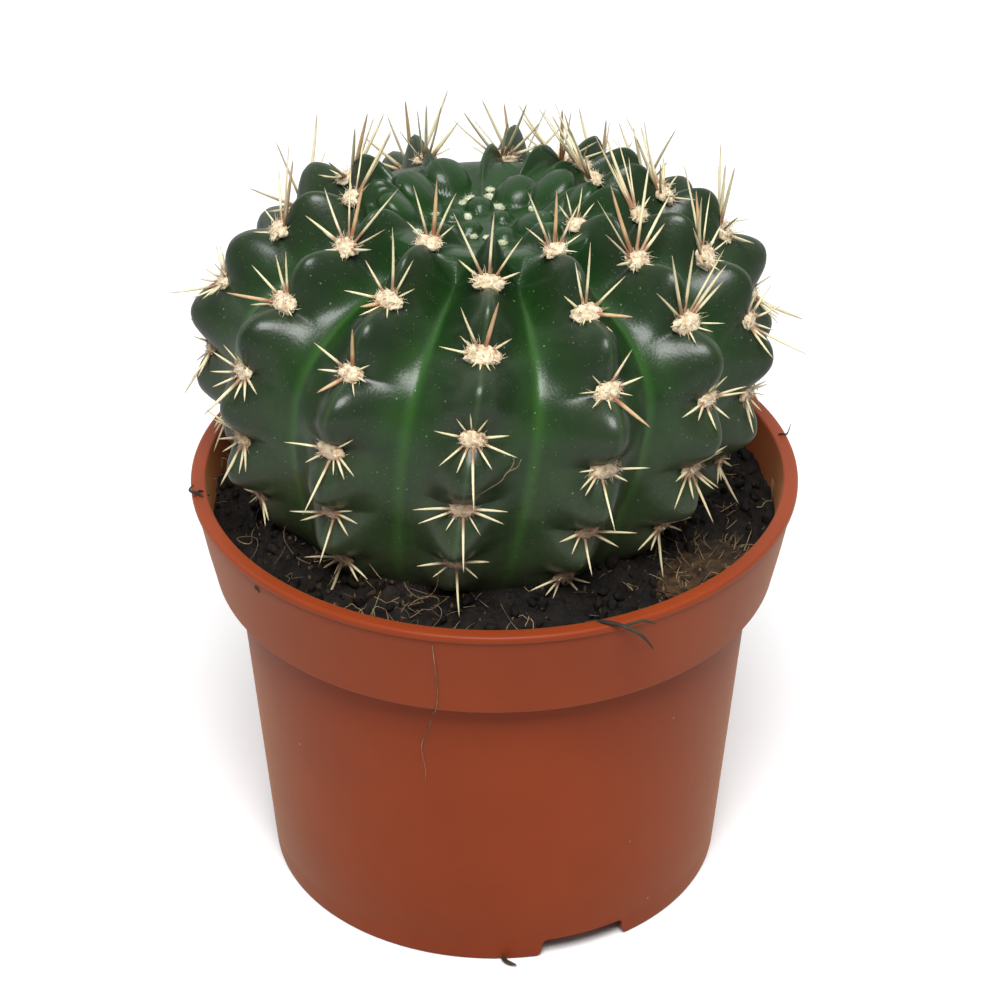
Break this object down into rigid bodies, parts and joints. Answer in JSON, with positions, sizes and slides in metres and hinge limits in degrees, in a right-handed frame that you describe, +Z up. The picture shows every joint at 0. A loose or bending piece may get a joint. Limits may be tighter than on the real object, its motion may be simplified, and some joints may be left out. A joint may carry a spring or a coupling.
{
  "type": "potted round cactus",
  "caption": "Round ribbed cactus with spine clusters along its ribs, seated in dark soil in a banded plastic nursery pot.",
  "frame": {"origin": "centre of the pot's foot, on the surface the pot stands on", "axes": "+Z up, out of the pot's mouth; -Y is the front of the plant, with a drain notch of the pot turned a little towards +X"},
  "size_m": [0.1217, 0.1206, 0.1631],
  "materials": {
    "terracotta_plastic": "satin",
    "peat": "matte",
    "coir": "matte",
    "cactus_skin": "satin",
    "areole_felt_and_spines": "matte",
    "white_felt": "matte"
  },
  "bodies": {
    "root": {"pot": "terracotta_plastic", "soil": "peat", "soil_clump": "coir", "cactus_stem": "cactus_skin", "apex_wool": "white_felt", "areole_rib01_row1": "areole_felt_and_spines", "areole_rib02_row1": "areole_felt_and_spines", "areole_rib03_row1": "areole_felt_and_spines", "areole_rib04_row1": "areole_felt_and_spines", "areole_rib05_row1": "areole_felt_and_spines", "areole_rib06_row1": "areole_felt_and_spines", "areole_rib07_row1": "areole_felt_and_spines", "areole_rib08_row1": "areole_felt_and_spines", "areole_rib09_row1": "areole_felt_and_spines", "areole_rib10_row1": "areole_felt_and_spines", "areole_rib11_row1": "areole_felt_and_spines", "areole_rib12_row1": "areole_felt_and_spines", "areole_rib13_row1": "areole_felt_and_spines", "areole_rib01_row2": "areole_felt_and_spines", "areole_rib02_row2": "areole_felt_and_spines", "areole_rib03_row2": "areole_felt_and_spines", "areole_rib04_row2": "areole_felt_and_spines", "areole_rib05_row2": "areole_felt_and_spines", "areole_rib06_row2": "areole_felt_and_spines", "areole_rib07_row2": "areole_felt_and_spines", "areole_rib08_row2": "areole_felt_and_spines", "areole_rib09_row2": "areole_felt_and_spines", "areole_rib10_row2": "areole_felt_and_spines", "areole_rib11_row2": "areole_felt_and_spines", "areole_rib12_row2": "areole_felt_and_spines", "areole_rib13_row2": "areole_felt_and_spines", "areole_rib01_row3": "areole_felt_and_spines", "areole_rib02_row3": "areole_felt_and_spines", "areole_rib03_row3": "areole_felt_and_spines", "areole_rib04_row3": "areole_felt_and_spines", "areole_rib05_row3": "areole_felt_and_spines", "areole_rib06_row3": "areole_felt_and_spines", "areole_rib07_row3": "areole_felt_and_spines", "areole_rib08_row3": "areole_felt_and_spines", "areole_rib09_row3": "areole_felt_and_spines", "areole_rib10_row3": "areole_felt_and_spines", "areole_rib11_row3": "areole_felt_and_spines", "areole_rib12_row3": "areole_felt_and_spines", "areole_rib13_row3": "areole_felt_and_spines", "areole_rib01_row4": "areole_felt_and_spines", "areole_rib02_row4": "areole_felt_and_spines", "areole_rib03_row4": "areole_felt_and_spines", "areole_rib04_row4": "areole_felt_and_spines", "areole_rib05_row4": "areole_felt_and_spines", "areole_rib06_row4": "areole_felt_and_spines", "areole_rib07_row4": "areole_felt_and_spines", "areole_rib08_row4": "areole_felt_and_spines", "areole_rib09_row4": "areole_felt_and_spines", "areole_rib10_row4": "areole_felt_and_spines", "areole_rib11_row4": "areole_felt_and_spines", "areole_rib12_row4": "areole_felt_and_spines", "areole_rib13_row4": "areole_felt_and_spines"}
  },
  "joints": []
}
